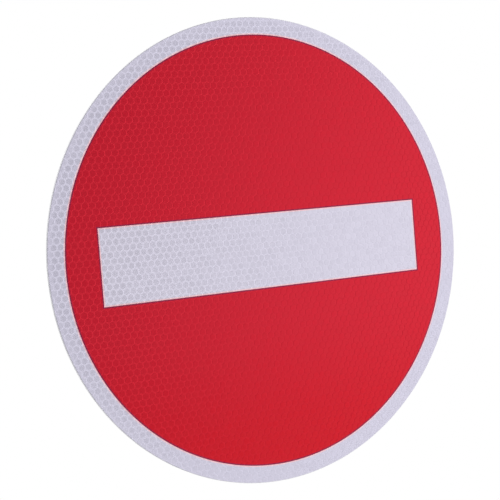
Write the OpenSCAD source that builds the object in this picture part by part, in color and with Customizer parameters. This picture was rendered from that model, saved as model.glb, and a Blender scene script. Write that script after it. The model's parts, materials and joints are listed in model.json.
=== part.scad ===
// Round no-entry sign. A flat aluminium plate is faced with white honeycomb
// reflective sheeting, and a clear red film with a bar-shaped window lies over
// it. Two extruded rails are bonded across the back with foam tape, so that no
// hole or rivet shows on the face.
// The face looks along -Y with +Z up. The origin is on the sign's axis, in the
// plane of the rails' lips, where the post or wall bears on them.

/* [Plate] */
// Diameter of the sign
sign_d = 300; // [280:5:400]
// Thickness of the aluminium plate
plate_t = 1.5; // [1:0.1:4]
// Size of the bevel that breaks the plate's two sharp edges
edge_break = 0.25; // [0.1:0.05:0.45]

/* [Face] */
// Thickness of the honeycomb sheeting
sheeting_t = 0.4; // [0.2:0.05:0.8]
// How far the sheeting is trimmed back from the flat of the plate
sheeting_trim = 0.15; // [0.05:0.05:1]
// Width of the white border, from the plate's rim to the red
border_w = 11.25; // [6:0.25:16]
// Thickness of the red film
film_t = 0.1; // [0.05:0.05:0.3]
// Length of the white bar
bar_l = 232.5; // [150:0.5:240]
// Height of the white bar
bar_h = 48; // [20:1:70]

/* [Rail section] */
// Distance between the two rails, centre to centre
rail_pitch = 150; // [80:5:180]
// Width of the rail's foot, which is bonded to the plate
foot_w = 40; // [36:1:50]
// Thickness of the foot
foot_t = 1.6; // [1.2:0.1:2.4]
// Width of the channel over its side walls
channel_w = 28; // [24:1:32]
// Depth of the rail, from the foot's underside to the face of the lips
rail_depth = 13; // [11:0.5:20]
// Thickness of the side walls
wall_t = 1.6; // [1.2:0.1:2.2]
// Thickness of the lips
lip_t = 1.8; // [1.4:0.1:2.4]
// Width of the slot between the lips
slot_w = 11; // [8:0.5:14]
// How far each lip's edge turns back into the channel
return_d = 1.3; // [0.6:0.1:2]
// Thickness of that turned edge
return_t = 1.5; // [1:0.1:2]
// Radius of the channel's outer corners
corner_r = 1.2; // [0.4:0.1:1.5]
// Radius inside the channel, where the walls meet the foot
fillet_r = 0.7; // [0.3:0.1:1]
// Depth of the drilling groove along the middle of the foot
groove_d = 0.4; // [0.2:0.1:0.8]

/* [Rail fixing] */
// Least distance from a rail's corners to the plate's rim
rim_gap = 6; // [2:1:20]
// Thickness of the foam tape
tape_t = 1.1; // [0.5:0.1:2]
// How far the tape stops short of the foot's long edges
tape_side_gap = 3; // [0:0.5:8]
// How far the tape stops short of the rail's ends
tape_end_gap = 4; // [0:1:20]

/* [Hidden] */
$fn = 96;
cut = 1; // how far a cutting shape runs past the face that it cuts

sign_r = sign_d / 2;
sheeting_r = sign_r - edge_break - sheeting_trim;
red_r = sign_r - border_w;

// Planes of the stack, from the rails' lips at y = 0 forward to the red
rail_foot_y = -rail_depth;
plate_back_y = rail_foot_y - tape_t;
plate_front_y = plate_back_y - plate_t;
sheeting_front_y = plate_front_y - sheeting_t;

// A rail is cut to whole millimetres, as long as the round plate allows there
rail_z = rail_pitch / 2;
foot_outer_z = rail_z + foot_w / 2;
rail_l = 2 * floor(sqrt(pow(sign_r, 2) - pow(foot_outer_z, 2)) - rim_gap);

tape_l = rail_l - 2 * tape_end_gap;
tape_w = foot_w - 2 * tape_side_gap;

// Turns a shape drawn along +Z so that it runs forward, along -Y, from back_y
module forward_from(back_y) {
    translate([0, back_y, 0])
        rotate([90, 0, 0])
            children();
}

// Sheared blank with both edges broken by a fine bevel
module sign_plate() {
    color("silver")
        forward_from(plate_back_y)
            rotate_extrude($fn = 180)
                polygon([
                    [0, 0],
                    [sign_r - edge_break, 0],
                    [sign_r, edge_break],
                    [sign_r, plate_t - edge_break],
                    [sign_r - edge_break, plate_t],
                    [0, plate_t]
                ]);
}

// One disc of sheeting, trimmed just inside the plate's bevel
module white_sheeting() {
    color("ghostwhite")
        forward_from(plate_front_y)
            cylinder(r = sheeting_r, h = sheeting_t, $fn = 180);
}

// Disc of clear red film with the bar cut out of it
module red_film() {
    color("crimson")
        forward_from(sheeting_front_y)
            linear_extrude(height = film_t)
                difference() {
                    circle(r = red_r, $fn = 180);
                    square([bar_l, bar_h], center = true);
                }
}

// Strip of double-sided foam tape between the plate and a rail's foot
module rail_tape(side) {
    color("dimgray")
        translate([-tape_l / 2, plate_back_y, side * rail_z - tape_w / 2])
            cube([tape_l, tape_t, tape_w]);
}

// Rectangle that starts at x0 and is centred on the section's middle line
module centred_strip(x0, x1, width) {
    translate([x0, -width / 2])
        square([x1 - x0, width]);
}

// The same rectangle with its two corners at the x1 end rounded
module strip_round_top(x0, x1, width, radius) {
    centred_strip(x0, x1 - radius, width);
    centred_strip(x0, x1, width - 2 * radius);
    for (side = [-1, 1])
        translate([x1 - radius, side * (width / 2 - radius)])
            circle(r = radius);
}

// The same rectangle with its two corners at the x0 end rounded
module strip_round_bottom(x0, x1, width, radius) {
    centred_strip(x0 + radius, x1, width);
    centred_strip(x0, x1, width - 2 * radius);
    for (side = [-1, 1])
        translate([x0 + radius, side * (width / 2 - radius)])
            circle(r = radius);
}

// The foot: a flat strip with half-round long edges
module foot_section() {
    edge_r = foot_t / 2;
    centred_strip(rail_foot_y, rail_foot_y + foot_t, foot_w - 2 * edge_r);
    for (side = [-1, 1])
        translate([rail_foot_y + edge_r, side * (foot_w / 2 - edge_r)])
            circle(r = edge_r);
}

// The lips' edges, turned back into the channel on both sides of the slot
module lip_returns_section() {
    for (side = [-1, 1])
        translate([-lip_t - return_d, side * (slot_w + return_t) / 2 - return_t / 2])
            square([return_d + lip_t / 2, return_t]);
}

// Section of the rail, drawn with x as depth (lips at 0) and y across the rail
module rail_section() {
    difference() {
        union() {
            foot_section();
            difference() {
                strip_round_top(rail_foot_y, 0, channel_w, corner_r);
                strip_round_bottom(rail_foot_y + foot_t, -lip_t, channel_w - 2 * wall_t, fillet_r);
            }
            lip_returns_section();
        }
        centred_strip(-lip_t - return_d - cut, cut, slot_w);
        translate([rail_foot_y + foot_t, 0])
            rotate(45)
                square(sqrt(2) * groove_d, center = true);
    }
}

// Extruded rail with inturned lips, lying along X and sawn square at both ends
module fixing_rail(side) {
    color("lightgray")
        translate([-rail_l / 2, 0, side * rail_z])
            rotate([90, 0, 90])
                linear_extrude(height = rail_l)
                    rail_section();
}

module rail_tape_upper() {
    rail_tape(1);
}

module rail_tape_lower() {
    rail_tape(-1);
}

module fixing_rail_upper() {
    fixing_rail(1);
}

module fixing_rail_lower() {
    fixing_rail(-1);
}

sign_plate();
white_sheeting();
red_film();
rail_tape_upper();
rail_tape_lower();
fixing_rail_upper();
fixing_rail_lower();
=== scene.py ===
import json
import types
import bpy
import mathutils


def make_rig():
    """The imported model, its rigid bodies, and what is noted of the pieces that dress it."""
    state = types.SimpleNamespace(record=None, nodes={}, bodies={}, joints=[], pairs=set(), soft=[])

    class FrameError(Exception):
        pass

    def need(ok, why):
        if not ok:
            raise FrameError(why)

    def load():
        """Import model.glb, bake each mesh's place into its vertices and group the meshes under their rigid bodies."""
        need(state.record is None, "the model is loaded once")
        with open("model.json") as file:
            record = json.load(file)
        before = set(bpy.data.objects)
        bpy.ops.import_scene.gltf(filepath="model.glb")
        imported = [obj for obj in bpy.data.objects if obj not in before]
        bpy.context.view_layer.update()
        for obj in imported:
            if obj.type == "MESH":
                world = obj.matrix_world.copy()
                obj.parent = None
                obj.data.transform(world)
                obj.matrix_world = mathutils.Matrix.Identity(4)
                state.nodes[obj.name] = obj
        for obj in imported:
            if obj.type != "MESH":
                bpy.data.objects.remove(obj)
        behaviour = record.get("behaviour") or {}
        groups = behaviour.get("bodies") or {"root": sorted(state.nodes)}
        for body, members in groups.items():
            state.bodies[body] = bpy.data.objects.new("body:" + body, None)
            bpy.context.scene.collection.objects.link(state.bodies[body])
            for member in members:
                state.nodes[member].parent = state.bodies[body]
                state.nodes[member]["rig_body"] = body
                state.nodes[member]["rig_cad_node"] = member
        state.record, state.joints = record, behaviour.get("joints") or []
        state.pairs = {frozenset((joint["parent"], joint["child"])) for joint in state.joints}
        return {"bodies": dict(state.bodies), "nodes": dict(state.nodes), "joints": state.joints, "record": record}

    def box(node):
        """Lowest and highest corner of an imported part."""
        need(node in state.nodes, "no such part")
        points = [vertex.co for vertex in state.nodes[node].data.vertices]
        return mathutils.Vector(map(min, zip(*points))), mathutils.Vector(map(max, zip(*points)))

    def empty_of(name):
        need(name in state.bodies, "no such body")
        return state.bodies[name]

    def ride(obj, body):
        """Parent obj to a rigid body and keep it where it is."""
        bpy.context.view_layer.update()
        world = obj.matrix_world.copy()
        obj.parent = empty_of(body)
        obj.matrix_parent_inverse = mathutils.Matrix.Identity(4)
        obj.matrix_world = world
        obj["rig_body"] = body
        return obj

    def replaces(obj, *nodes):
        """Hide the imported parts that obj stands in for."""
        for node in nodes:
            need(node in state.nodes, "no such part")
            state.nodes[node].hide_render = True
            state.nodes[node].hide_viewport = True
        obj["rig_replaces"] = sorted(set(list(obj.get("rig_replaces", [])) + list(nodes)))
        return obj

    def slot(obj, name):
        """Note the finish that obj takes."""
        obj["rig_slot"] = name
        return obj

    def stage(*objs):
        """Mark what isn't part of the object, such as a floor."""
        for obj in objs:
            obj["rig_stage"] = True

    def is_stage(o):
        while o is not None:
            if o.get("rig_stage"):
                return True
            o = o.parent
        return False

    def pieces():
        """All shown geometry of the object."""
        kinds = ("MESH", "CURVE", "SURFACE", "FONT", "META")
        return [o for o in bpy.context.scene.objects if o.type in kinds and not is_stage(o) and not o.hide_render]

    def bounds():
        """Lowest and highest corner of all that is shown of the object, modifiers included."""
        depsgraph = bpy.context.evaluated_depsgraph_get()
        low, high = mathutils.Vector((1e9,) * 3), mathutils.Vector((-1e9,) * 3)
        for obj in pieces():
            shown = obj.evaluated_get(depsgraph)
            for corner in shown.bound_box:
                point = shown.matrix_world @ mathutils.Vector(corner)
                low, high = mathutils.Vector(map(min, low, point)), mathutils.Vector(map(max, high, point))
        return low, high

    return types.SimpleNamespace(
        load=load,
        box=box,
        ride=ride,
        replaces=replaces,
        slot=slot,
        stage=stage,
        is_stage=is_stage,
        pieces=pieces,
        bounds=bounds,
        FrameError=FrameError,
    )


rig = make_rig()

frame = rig.load()
cad_low, cad_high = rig.bounds()

import json
import math

import bmesh
import bpy
from mathutils import Quaternion, Vector

# The camera. It stands to the left of the sign and just above its middle, on a
# long lens, and is tipped a little to its left, so that the bar climbs to the right.
sign_middle = Vector((0, cad_low.y, 0))
camera_distance = 0.8484
camera_azimuth = math.radians(-29.48)
camera_elevation = math.radians(2.6)
camera_roll = math.radians(4.67)
# Where the lens points, from the middle of the face
aim_right = -0.01317
aim_up = 0.0013
lens_mm = 94.65
sensor_mm = 36

camera_place = sign_middle + camera_distance * Vector((
    math.sin(camera_azimuth) * math.cos(camera_elevation),
    -math.cos(camera_azimuth) * math.cos(camera_elevation),
    math.sin(camera_elevation),
))
looking = sign_middle + Vector((aim_right, 0, aim_up)) - camera_place
camera = bpy.data.objects.new("camera", bpy.data.cameras.new("camera"))
bpy.context.scene.collection.objects.link(camera)
camera.data.sensor_width = sensor_mm
camera.data.lens = lens_mm
camera.rotation_mode = "QUATERNION"
camera.location = camera_place
camera.rotation_quaternion = (
    looking.to_track_quat("-Z", "Y") @ Quaternion((0, 0, 1), -camera_roll)
)
bpy.context.scene.camera = camera

# The plate is a round blank sheared from rolled aluminium and left as it comes from
# the mill: fine rolling grain with paler and duller streaks runs from side to side
# over its back, and its thin sheared rim is brighter and torn.
mill_colour = (0.60, 0.61, 0.62, 1)
mill_shadow = (0.46, 0.47, 0.485, 1)
rim_colour = (0.77, 0.765, 0.80, 1)
# How far inside the plate's edge the rim's look begins, and where it is full
rim_begins = 0.0004
rim_full = 0.0002
rim_matt_share = 0.35
plate_smooth = 0.23
plate_uneven = 0.11
# How many bumps of each pattern there are in a metre along x, y and z
grain_scale = (60, 60, 5200)
streak_scale = (7, 7, 620)
cloud_scale = (14, 14, 26)
tear_scale = (2600, 500, 2600)
# The sum of a metal's three patterns over which it turns from bright to dull
dull_from = 0.9
dull_to = 2.1
metal_relief = 0.00003
plate_low, plate_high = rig.box("sign_plate")
plate_radius = (plate_high.x - plate_low.x) / 2


class Field:
    """A value that a finish works out from point to point; sums on it add Math nodes."""

    def __init__(self, finish, socket):
        self.finish = finish
        self.socket = socket

    def math(self, operation, *values):
        return self.finish.node(
            "ShaderNodeMath", {"operation": operation}, dict(enumerate(values))
        )

    def __add__(self, other):
        return self.math("ADD", self, other)

    def __sub__(self, other):
        return self.math("SUBTRACT", self, other)

    def __rsub__(self, other):
        return self.math("SUBTRACT", other, self)

    def __mul__(self, other):
        return self.math("MULTIPLY", self, other)

    def __truediv__(self, other):
        return self.math("DIVIDE", self, other)

    def __neg__(self):
        return self.math("MULTIPLY", self, -1.0)

    def __abs__(self):
        return self.math("ABSOLUTE", self)

    def __round__(self):
        return self.math("ROUND", self)

    __radd__ = __add__
    __rmul__ = __mul__

    def root(self):
        return self.math("SQRT", self)

    def smallest(self, other):
        return self.math("MINIMUM", self, other)

    def largest(self, other):
        return self.math("MAXIMUM", self, other)

    def below(self, other):
        return self.math("LESS_THAN", self, other)

    def rise(self, low, high):
        """0 up to low and 1 from high, with a soft step between."""
        return self.finish.node(
            "ShaderNodeMapRange",
            {"interpolation_type": "SMOOTHSTEP"},
            {"Value": self, "From Min": low, "From Max": high},
        )


class Finish:
    """A material or a world, as nodes that end in one shader."""

    def __init__(self, owner):
        owner.use_nodes = True
        self.owner = owner
        self.tree = owner.node_tree
        self.tree.nodes.clear()

    def node(self, kind, settings, sockets, out=0):
        """Adds a node, sets it up, and gives back one of its outputs."""
        made = self.tree.nodes.new(kind)
        for name, value in settings.items():
            setattr(made, name, value)
        for name, value in sockets.items():
            if isinstance(value, Field):
                self.tree.links.new(value.socket, made.inputs[name])
            else:
                made.inputs[name].default_value = value
        return Field(self, made.outputs[out]) if made.outputs else None

    def parts(self, vector):
        """The x, y and z of a vector."""
        return [self.node("ShaderNodeSeparateXYZ", {}, {0: vector}, out=n) for n in range(3)]

    def place(self):
        """The point's own x, y and z in the sign's frame, in metres."""
        return self.parts(self.node("ShaderNodeTexCoord", {}, {}, out="Object"))

    def point(self, x, y, z):
        return self.node("ShaderNodeCombineXYZ", {}, {0: x, 1: y, 2: z})

    def noise(self, place, scale, detail=2.0):
        """Soft noise from 0 to 1, with as many bumps in a metre as scale says, and as
        many layers of finer bumps on them as detail says."""
        return self.node(
            "ShaderNodeTexNoise",
            {},
            {
                "Vector": self.point(*[along * bumps for along, bumps in zip(place, scale)]),
                "Scale": 1.0,
                "Detail": detail,
            },
        )

    def mix(self, share, first, second):
        """A colour that goes from the first to the second as share goes from 0 to 1."""
        # Where a Mix node has its sockets for colours
        share_at, first_at, second_at, result_at = 0, 6, 7, 2
        return self.node(
            "ShaderNodeMix",
            {"data_type": "RGBA"},
            {share_at: share, first_at: first, second_at: second},
            out=result_at,
        )

    def bump(self, height, depth):
        """A normal that follows a height field; depth is in metres for a height of 1."""
        return self.node(
            "ShaderNodeBump", {}, {"Height": height, "Distance": depth, "Strength": 1.0}
        )

    def principled(self, sockets):
        """Ends the finish in one plain shader, and gives back the material."""
        shader = self.node("ShaderNodeBsdfPrincipled", {}, sockets)
        self.node("ShaderNodeOutputMaterial", {}, {"Surface": shader})
        return self.owner


def dress(piece, material):
    """Gives a piece this material alone."""
    piece.data.materials.clear()
    piece.data.materials.append(material)


plate_finish = Finish(bpy.data.materials.new("mill_aluminium_plate"))
x, y, z = plate_finish.place()
grain = plate_finish.noise((x, y, z), grain_scale, detail=3.0)
streaks = plate_finish.noise((x, y, z), streak_scale, detail=4.0)
cloud = plate_finish.noise((x, y, z), cloud_scale, detail=4.0)
tear = plate_finish.noise((x, y, z), tear_scale, detail=3.0)
rolling = grain + streaks + cloud
rim = (x * x + z * z).root().rise(plate_radius - rim_begins, plate_radius - rim_full)
dull = rolling.rise(dull_from, dull_to)
rolled_colour = plate_finish.mix(dull, mill_colour, mill_shadow)
dress(frame["nodes"]["sign_plate"], plate_finish.principled({
    "Base Color": plate_finish.mix(rim, rolled_colour, rim_colour),
    "Metallic": 1 - rim_matt_share * rim,
    "Roughness": plate_smooth + plate_uneven * (rolling + rim),
    "Normal": plate_finish.bump(grain * (1 - rim) + tear * rim, metal_relief),
}))

# Two strips of grey acrylic foam tape bond the rails to the plate. Only their
# cut edges show, as a matt line along both sides of each foot.
foam_colour = (0.085, 0.087, 0.092, 1)
foam_pale = (0.14, 0.142, 0.148, 1)
foam_roughness = 0.82
foam_uneven = 0.1
pore_scale = (3800, 3800, 3800)
pore_relief = 0.00006

foam_finish = Finish(bpy.data.materials.new("foam_tape"))
pores = foam_finish.noise(foam_finish.place(), pore_scale, detail=3.0)
foam_tape = foam_finish.principled({
    "Base Color": foam_finish.mix(pores, foam_colour, foam_pale),
    "Roughness": foam_roughness + foam_uneven * pores,
    "Normal": foam_finish.bump(pores, pore_relief),
})
dress(frame["nodes"]["rail_tape_upper"], foam_tape)
dress(frame["nodes"]["rail_tape_lower"], foam_tape)

# The two rails are aluminium extrusions, mill finish: die lines run along them, and
# their sawn ends are brighter and rougher, with fine slanting marks from the blade.
rail_colour = (0.70, 0.71, 0.72, 1)
rail_shadow = (0.55, 0.56, 0.575, 1)
sawn_colour = (0.74, 0.745, 0.75, 1)
# How far inside a rail's end the sawn look begins, and where it is full
sawn_begins = 0.00015
sawn_full = 0.000075
rail_smooth = 0.2
rail_uneven = 0.1
die_line_scale = (5, 2400, 2400)
band_scale = (2, 420, 420)
tarnish_scale = (24, 120, 120)
saw_mark_scale = (4200, 60, 60)
saw_slant = 0.4
rail_low, rail_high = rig.box("fixing_rail_upper")
rail_half_length = (rail_high.x - rail_low.x) / 2

rail_finish = Finish(bpy.data.materials.new("extruded_aluminium_rail"))
x, y, z = rail_finish.place()
die_lines = rail_finish.noise((x, y, z), die_line_scale, detail=3.0)
bands = rail_finish.noise((x, y, z), band_scale, detail=3.0)
tarnish = rail_finish.noise((x, y, z), tarnish_scale, detail=3.0)
saw_marks = rail_finish.noise((y + z * saw_slant, z, y), saw_mark_scale)
sawn = abs(x).rise(rail_half_length - sawn_begins, rail_half_length - sawn_full)
drawing = die_lines + bands + tarnish
dull = drawing.rise(dull_from, dull_to)
drawn_colour = rail_finish.mix(dull, rail_colour, rail_shadow)
rail_metal = rail_finish.principled({
    "Base Color": rail_finish.mix(sawn, drawn_colour, sawn_colour),
    "Metallic": 1.0,
    "Roughness": rail_smooth + rail_uneven * (drawing + sawn),
    "Normal": rail_finish.bump(die_lines * (1 - sawn) + saw_marks * sawn, metal_relief),
})
dress(frame["nodes"]["fixing_rail_upper"], rail_metal)
dress(frame["nodes"]["fixing_rail_lower"], rail_metal)

# The white sheeting is a clear film sealed over reflective beads along a honeycomb of
# white walls. Each cell is a shallow pad with the film drawn down to the wall round
# it. It is stuck over the whole face and trimmed at the plate's bevel.
cell_pitch = 0.00445
row_pitch = cell_pitch * math.sqrt(3) / 2
# The middle of one cell; the rows of cells run level across the sign
lattice_x = -0.00035
lattice_z = 0.00314
# How far a pad reaches to the cell's flats, and to its six cut corners
pad_flat_share = 0.80
pad_tip_share = 0.706
# How far the walls lie behind the pads
wall_dip = 0.00007
sixth_turn = math.radians(60)
rim_steps = 720
cut_overrun = 0.001
hair = 0.000001
sheet_low, sheet_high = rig.box("white_sheeting")
sheeting_radius = (sheet_high.x - sheet_low.x) / 2
sheeting_front = sheet_low.y
sheeting_back = sheet_high.y


def as_object(name, shape):
    """Turns a finished bmesh into an object in the scene."""
    mesh = bpy.data.meshes.new(name)
    shape.to_mesh(mesh)
    shape.free()
    made = bpy.data.objects.new(name, mesh)
    bpy.context.scene.collection.objects.link(made)
    return made


def set_back(geometry, depth):
    """Moves the points among some new geometry to this depth."""
    for item in geometry:
        if isinstance(item, bmesh.types.BMVert):
            item.co.y = depth


def honeycomb_slab(name, reach, front, back):
    """A closed slab with a pad and its walls in every cell within reach of the middle."""
    cell_radius = cell_pitch / math.sqrt(3)
    pad_flat = pad_flat_share * cell_pitch / 2
    pad_tip = pad_tip_share * cell_radius
    half_corner = sixth_turn / 2
    # Half the length of the cut across each of a pad's corners
    half_cut = (pad_flat - pad_tip * math.cos(half_corner)) / math.sin(half_corner)
    # A cell's corners, in half pitches across and half cell radii up from its middle
    corner_steps = ((1, 1), (0, 2), (-1, 1), (-1, -1), (0, -2), (1, -1))
    shape = bmesh.new()
    crests = {}

    def crest(across, up):
        """The point where three walls meet, which the cells round it share."""
        if (across, up) not in crests:
            px = lattice_x + across * cell_pitch / 2
            pz = lattice_z + up * cell_radius / 2
            crests[across, up] = shape.verts.new((px, front + wall_dip, pz))
        return crests[across, up]

    rows = math.ceil(reach / row_pitch) + 1
    columns = math.ceil(reach / cell_pitch) + 1
    for row in range(-rows, rows + 1):
        for column in range(-columns, columns + 1):
            half_pitches = 2 * column + row % 2
            cx = lattice_x + half_pitches * cell_pitch / 2
            cz = lattice_z + row * row_pitch
            if math.hypot(cx, cz) > reach + cell_pitch:
                continue
            walls = []
            pad = []
            for across, up in corner_steps:
                walls.append(crest(half_pitches + across, 3 * row + up))
                out_x = across * math.cos(half_corner)
                out_z = up * math.sin(half_corner)
                for aside in (-half_cut, half_cut):
                    px = cx + pad_tip * out_x - aside * out_z
                    pz = cz + pad_tip * out_z + aside * out_x
                    pad.append(shape.verts.new((px, front, pz)))
            shape.faces.new(pad)
            for corner in range(len(walls)):
                here, onward = walls[corner], walls[(corner + 1) % len(walls)]
                near, far = pad[2 * corner], pad[2 * corner + 1]
                after = pad[(2 * corner + 2) % len(pad)]
                shape.faces.new((here, far, near))
                shape.faces.new((here, onward, after, far))
    # The open outer edge is drawn back to the slab's back and closed there
    open_edges = [edge for edge in shape.edges if edge.is_boundary]
    set_back(bmesh.ops.extrude_edge_only(shape, edges=open_edges)["geom"], back)
    lower_edges = [edge for edge in shape.edges if edge.is_boundary]
    bmesh.ops.contextual_create(shape, geom=lower_edges)
    bmesh.ops.recalc_face_normals(shape, faces=shape.faces)
    return as_object(name, shape)


def circle_outline(radius):
    """The points of a circle, in x and z."""
    turns = [2 * math.pi * step / rim_steps for step in range(rim_steps)]
    return [(radius * math.cos(turn), radius * math.sin(turn)) for turn in turns]


def trim(piece, operation, outline, front, back):
    """Cuts a piece with a straight prism of this outline that runs past both faces."""
    shape = bmesh.new()
    ring = [shape.verts.new((px, front - cut_overrun, pz)) for px, pz in outline]
    first = shape.faces.new(ring)
    grown = bmesh.ops.extrude_face_region(shape, geom=[first])["geom"]
    set_back(grown, back + cut_overrun)
    bmesh.ops.recalc_face_normals(shape, faces=shape.faces)
    prism = as_object("prism", shape)
    bpy.context.view_layer.objects.active = piece
    cut = piece.modifiers.new("trim", "BOOLEAN")
    cut.operation = operation
    cut.solver = "MANIFOLD"
    cut.object = prism
    bpy.ops.object.modifier_apply(modifier=cut.name)
    bpy.data.objects.remove(prism)
    # The cut leaves a few points less than a hair apart
    shape = bmesh.new()
    shape.from_mesh(piece.data)
    bmesh.ops.remove_doubles(shape, verts=shape.verts, dist=hair)
    shape.to_mesh(piece.data)
    shape.free()


def lay_out_bake_map(piece, radius):
    """A map for the export: the face as seen from the front, the cut edge as a ring
    round it, and the hidden back as a small patch in the corner."""
    map_name = "OFBake"
    middle = 0.5
    face_share = 0.485
    edge_share = 0.008
    corner = 0.03
    back_share = 0.012
    mostly = 0.5
    mesh = piece.data
    layer = mesh.uv_layers.new(name=map_name)
    low = min(vert.co.y for vert in mesh.vertices)
    high = max(vert.co.y for vert in mesh.vertices)
    for face in mesh.polygons:
        for loop in face.loop_indices:
            px, py, pz = mesh.vertices[mesh.loops[loop].vertex_index].co
            share, centre = face_share, middle
            if face.normal.y > mostly:
                share, centre = back_share, corner
            elif face.normal.y > -mostly:
                share += edge_share * (py - low) / (high - low)
            layer.uv[loop].vector = (centre + share * px / radius, centre + share * pz / radius)


def cell_fields(finish, x, z, salt):
    """Where a point lies in its cell: how far out towards the wall, 1 at its middle,
    measured six-sided and round, and a number from 0 to 1 that each cell has of its own.
    Another salt gives the cells other numbers."""
    half_pitch = cell_pitch / 2

    def from_nearest(dx, dz):
        u = x - (lattice_x + dx)
        w = z - (lattice_z + dz)
        u = u - round(u / cell_pitch) * cell_pitch
        w = w - round(w / (2 * row_pitch)) * (2 * row_pitch)
        return u, w

    u1, w1 = from_nearest(0, 0)
    u2, w2 = from_nearest(half_pitch, row_pitch)
    first = (u1 * u1 + w1 * w1).below(u2 * u2 + w2 * w2)
    u = u2 + (u1 - u2) * first
    w = w2 + (w1 - w2) * first
    to_next_flat = abs(u) * math.cos(sixth_turn) + abs(w) * math.sin(sixth_turn)
    six_sided = abs(u).largest(to_next_flat) / half_pitch
    rounded = (u * u + w * w).root() / half_pitch
    column = round((x - u - lattice_x) / half_pitch)
    row = round((z - w - lattice_z) / row_pitch)
    chance = finish.node(
        "ShaderNodeTexWhiteNoise",
        {"noise_dimensions": "3D"},
        {"Vector": finish.point(column, row, salt)},
    )
    return six_sided, rounded, chance


white_sheeting = honeycomb_slab(
    "white_honeycomb_sheeting", sheeting_radius, sheeting_front, sheeting_back
)
trim(white_sheeting, "INTERSECT", circle_outline(sheeting_radius), sheeting_front, sheeting_back)
lay_out_bake_map(white_sheeting, sheeting_radius)

cell_white = (0.705, 0.675, 0.80, 1)
wall_white = (0.691, 0.662, 0.785, 1)
# The border outside the red is a little greyer, which sets in between these shares of
# the red's radius
greyed_cell_white = (0.677, 0.652, 0.785, 1)
greyed_wall_white = (0.658, 0.634, 0.763, 1)
greyed_from = 0.96
greyed_to = 1.02
# The rim is sealed against water, which hides the cells there, most in its outer third
sealed_rim = 0.0035
sealed_outer = sealed_rim / 3
sealed_share = 0.6
# Where a cell's beads give way to its wall, and where the seal lies on the wall
beads_from = 0.65
beads_to = 0.87
seal_from = 0.86
seal_to = 0.94
# How far the sheeting mirrors the room: on the walls, the seal and the cells
wall_mirror = 0.22
seal_mirror_drop = 0.1
cell_mirror = 0.09
cell_mirror_spread = 0.14
white_roughness = 0.28
wall_roughness = 0.08
cell_roughness_spread = 0.06
white_specular = 0.3
bead_scale = (9000, 9000, 9000)
bead_relief = 0.000012
patch_scale = (60, 60, 60)
# A pink glow of red light is painted into the white beside the red, in full as far as the first
# of these widths and not past the second
painted_glow_colour = (0.98, 0.62, 0.66, 1)
painted_glow_full_width = 0.00044
painted_glow_width = 0.0011
painted_glow_share = 0.95
film_low, film_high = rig.box("red_film")
red_radius = (film_high.x - film_low.x) / 2
# The bar is the window in the red, through which the white shows
bar_half_length = 0.11625
bar_half_height = 0.024

white_finish = Finish(bpy.data.materials.new("white_honeycomb_sheeting"))
x, y, z = white_finish.place()
radius = (x * x + z * z).root()
six_sided, rounded, chance = cell_fields(white_finish, x, z, salt=1.0)
sealed = radius.rise(sheeting_radius - sealed_rim, sheeting_radius - sealed_outer)
beads_end = ((six_sided + rounded) / 2).rise(beads_from, beads_to)
in_cell = (1 - beads_end) * (1 - sealed_share * sealed)
on_seal = six_sided.rise(seal_from, seal_to)
beads = white_finish.noise((x, y, z), bead_scale)
patches = white_finish.noise((x, y, z), patch_scale)
greyed = radius.rise(red_radius * greyed_from, red_radius * greyed_to)
over_walls = white_finish.mix(greyed, wall_white, greyed_wall_white)
over_cells = white_finish.mix(greyed, cell_white, greyed_cell_white)
sheeting_colour = white_finish.mix(in_cell, over_walls, over_cells)
mirrored_by_walls = wall_mirror - seal_mirror_drop * on_seal
mirrored_by_cells = in_cell * (cell_mirror + cell_mirror_spread * (chance + patches))
# Painted glow: red light painted as pink into the white along the red's rim and round the bar
into_bar = (bar_half_length - abs(x)).smallest(bar_half_height - abs(z))
beside_red = (radius - red_radius).largest(into_bar)
painted_glow = 1 - beside_red.rise(painted_glow_full_width, painted_glow_width)
dress(white_sheeting, white_finish.principled({
    "Base Color": white_finish.mix(painted_glow_share * painted_glow, sheeting_colour, painted_glow_colour),
    "Metallic": mirrored_by_walls + mirrored_by_cells,
    "Roughness": white_roughness + wall_roughness * (1 - in_cell) + cell_roughness_spread * chance,
    "Specular IOR Level": white_specular,
    "Normal": white_finish.bump(beads * in_cell, bead_relief),
}))
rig.replaces(white_sheeting, "white_sheeting")
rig.ride(white_sheeting, "root")
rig.slot(white_sheeting, "white_sheeting")

# The red is a clear film laid over the sheeting, round, with the bar cut out of it. It
# is pressed down into the honeycomb, which shows through it and in its surface, and a
# thin dark line of painted shade runs along its cut edge.
film_front = film_low.y
film_back = sheeting_front + wall_dip / 2
bar_outline = [
    (-bar_half_length, -bar_half_height),
    (bar_half_length, -bar_half_height),
    (bar_half_length, bar_half_height),
    (-bar_half_length, bar_half_height),
]
red_film = honeycomb_slab("red_overlay_film", red_radius, film_front, film_back)
trim(red_film, "INTERSECT", circle_outline(red_radius), film_front, film_back)
trim(red_film, "DIFFERENCE", bar_outline, film_front, film_back)
lay_out_bake_map(red_film, red_radius)

cell_red = (0.682, 0.0076, 0.0285, 1)
wall_red = (0.682, 0.0152, 0.036, 1)
# The red deepens between these depths below the middle of the sign
deep_cell_red = (0.66, 0.0006, 0.013, 1)
deep_wall_red = (0.66, 0.0078, 0.0222, 1)
deep_from = 0.03
deep_to = 0.14
# The painted shade along the cut is full as far as the first width and ends at the second
cut_edge_painted_shade = (0.25, 0.017, 0.075, 1)
edge_shade_full_width = 0.00046
edge_shade_width = 0.00115
edge_shade_share = 0.88
# Where the film's seal lies on the wall
red_seal_from = 0.88
red_seal_to = 0.96
# How far the red mirrors the room: on the walls, the seal and the cells
red_wall_mirror = 0.46
red_seal_mirror_drop = 0.03
red_cell_mirror = 0.03
red_cell_mirror_spread = 0.05
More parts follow.
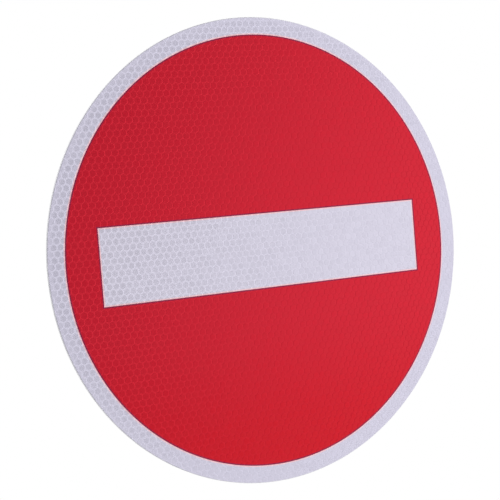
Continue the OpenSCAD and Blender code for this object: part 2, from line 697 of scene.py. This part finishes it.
# The gloss that the film has over the cells, where it lies smooth
red_gloss = 0.14
red_gloss_spread = 0.09
red_roughness = 0.28
red_roughness_spread = 0.04
red_specular = 0.28
red_patch_scale = (50, 50, 50)

red_finish = Finish(bpy.data.materials.new("red_overlay_film"))
x, y, z = red_finish.place()
six_sided, rounded, chance = cell_fields(red_finish, x, z, salt=2.0)
in_cell = 1 - ((six_sided + rounded) / 2).rise(beads_from, beads_to)
on_seal = six_sided.rise(red_seal_from, red_seal_to)
patches = red_finish.noise((x, y, z), red_patch_scale)
deep = (-z).rise(deep_from, deep_to)
over_walls = red_finish.mix(deep, wall_red, deep_wall_red)
over_cells = red_finish.mix(deep, cell_red, deep_cell_red)
film_colour = red_finish.mix(in_cell, over_walls, over_cells)
mirrored_by_walls = red_wall_mirror - red_seal_mirror_drop * on_seal
mirrored_by_cells = in_cell * (red_cell_mirror + red_cell_mirror_spread * (chance + patches))
# Painted shade: a thin dark line painted along the film's cut edges, at the rim and round the bar
inside_rim = red_radius - (x * x + z * z).root()
outside_bar = (abs(x) - bar_half_length).largest(abs(z) - bar_half_height)
to_cut = inside_rim.smallest(outside_bar)
painted_edge_shade = 1 - to_cut.rise(edge_shade_full_width, edge_shade_width)
dress(red_film, red_finish.principled({
    "Base Color": red_finish.mix(edge_shade_share * painted_edge_shade, film_colour, cut_edge_painted_shade),
    "Metallic": mirrored_by_walls + mirrored_by_cells,
    "Roughness": red_roughness + red_roughness_spread * (1 - in_cell + chance),
    "Specular IOR Level": red_specular,
    "Coat Weight": in_cell * (red_gloss + red_gloss_spread * (chance + patches)),
    "Coat Roughness": red_roughness,
}))
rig.replaces(red_film, "red_film")
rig.ride(red_film, "root")
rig.slot(red_film, "red_film")

# The studio is a pale floor well below the sign, which is held at its back, in a white
# room with two soft lamps. In front of the face one side of the room is unlit, and
# the cells of the sheeting show that as grey; behind it the light comes from above.
floor_height = -0.45
floor_radius = 1.2
floor_sides = 96
# The floor fades to plain white between these distances
floor_near = 0.6
floor_far = 1.15
floor_pale = (0.86, 0.86, 0.86, 1)
floor_lift = 0.06
white = (1, 1, 1, 1)
# How bright the room is to what is matt, and how bright its sides are in a mirror
room_light = 0.62
unlit_light = 0.22
lit_light = 1.12
back_low_light = 0.6
back_high_light = 1.25
# The unlit side ends in a soft edge to the right, which leans out above the horizon,
# and in another to the left
unlit_from = math.radians(22.4)
unlit_to = math.radians(30.4)
unlit_lean = 0.9
unlit_left_from = math.radians(-62)
unlit_left_to = math.radians(-45)
# How far back a direction points where the back of the room begins and is full, and
# how far up where that back is dimmest and brightest
behind_from = -0.1
behind_to = 0.5
back_low = -0.25
back_high = 0.6


def kinds_of_ray(finish):
    """1 or 0 for a ray from the camera, off a gloss, and through something clear."""
    kinds = ("Is Camera Ray", "Is Glossy Ray", "Is Transmission Ray")
    return [finish.node("ShaderNodeLightPath", {}, {}, out=kind) for kind in kinds]


shape = bmesh.new()
bmesh.ops.create_circle(shape, cap_ends=True, segments=floor_sides, radius=floor_radius)
bmesh.ops.translate(shape, verts=shape.verts, vec=(0, 0, floor_height))
floor = as_object("floor", shape)
floor_finish = Finish(bpy.data.materials.new("pale_floor"))
x, y = floor_finish.place()[:2]
far = (x * x + y * y).root().rise(floor_near, floor_far)
seen, glossy, clear = kinds_of_ray(floor_finish)
shows_white = seen.largest(glossy).largest(clear)
painted = floor_finish.node("ShaderNodeBsdfDiffuse", {}, {"Color": floor_pale})
lift = floor_finish.node(
    "ShaderNodeEmission", {}, {"Color": white, "Strength": shows_white * floor_lift}
)
near_floor = floor_finish.node("ShaderNodeAddShader", {}, {0: painted, 1: lift})
far_floor = floor_finish.node("ShaderNodeEmission", {}, {"Color": white, "Strength": 1.0})
surface = floor_finish.node(
    "ShaderNodeMixShader", {}, {0: far * shows_white, 1: near_floor, 2: far_floor}
)
floor_finish.node("ShaderNodeOutputMaterial", {}, {"Surface": surface})
dress(floor, floor_finish.owner)
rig.stage(floor)

room = bpy.data.worlds.new("white_room")
bpy.context.scene.world = room
room_finish = Finish(room)
direction = room_finish.node("ShaderNodeTexCoord", {}, {}, out="Generated")
dx, dy, dz = room_finish.parts(direction)
to_right = dx.math("ARCTAN2", dx, -dy)
upward = dz.math("ARCSINE", dz)
across = to_right - unlit_lean * upward.largest(0.0)
unlit = (1 - across.rise(unlit_from, unlit_to)) * across.rise(unlit_left_from, unlit_left_to)
in_front = lit_light + (unlit_light - lit_light) * unlit
at_back = back_low_light + (back_high_light - back_low_light) * dz.rise(back_low, back_high)
mirrored = in_front + (at_back - in_front) * dy.rise(behind_from, behind_to)
seen, glossy, clear = kinds_of_ray(room_finish)
shows_white = seen.largest(clear)
strength = room_light + (1 - room_light) * shows_white + (mirrored - room_light) * glossy
backdrop = room_finish.node("ShaderNodeBackground", {}, {"Color": white, "Strength": strength})
room_finish.node("ShaderNodeOutputWorld", {}, {"Surface": backdrop})


def soft_lamp(name, place, size, watts):
    """A square soft lamp that faces the sign and lights only what is matt."""
    lamp = bpy.data.objects.new(name, bpy.data.lights.new(name, "AREA"))
    bpy.context.scene.collection.objects.link(lamp)
    lamp.data.shape = "SQUARE"
    lamp.data.size = size
    lamp.data.energy = watts
    lamp.location = place
    lamp.rotation_mode = "QUATERNION"
    lamp.rotation_quaternion = (-Vector(place)).to_track_quat("-Z", "Y")
    lamp.visible_glossy = False
    lamp.visible_camera = False


soft_lamp("front_lamp", place=(0.9, -1.4, 1.1), size=1.0, watts=20)
soft_lamp("back_lamp", place=(-0.8, 1.4, 1.2), size=1.0, watts=16)

bpy.context.scene.view_settings.view_transform = "Standard"

seen_low, seen_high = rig.bounds()
with open("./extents.json", "w") as sizes:
    json.dump({
        "cad": [list(cad_low), list(cad_high)],
        "visual": [list(seen_low), list(seen_high)],
    }, sizes)
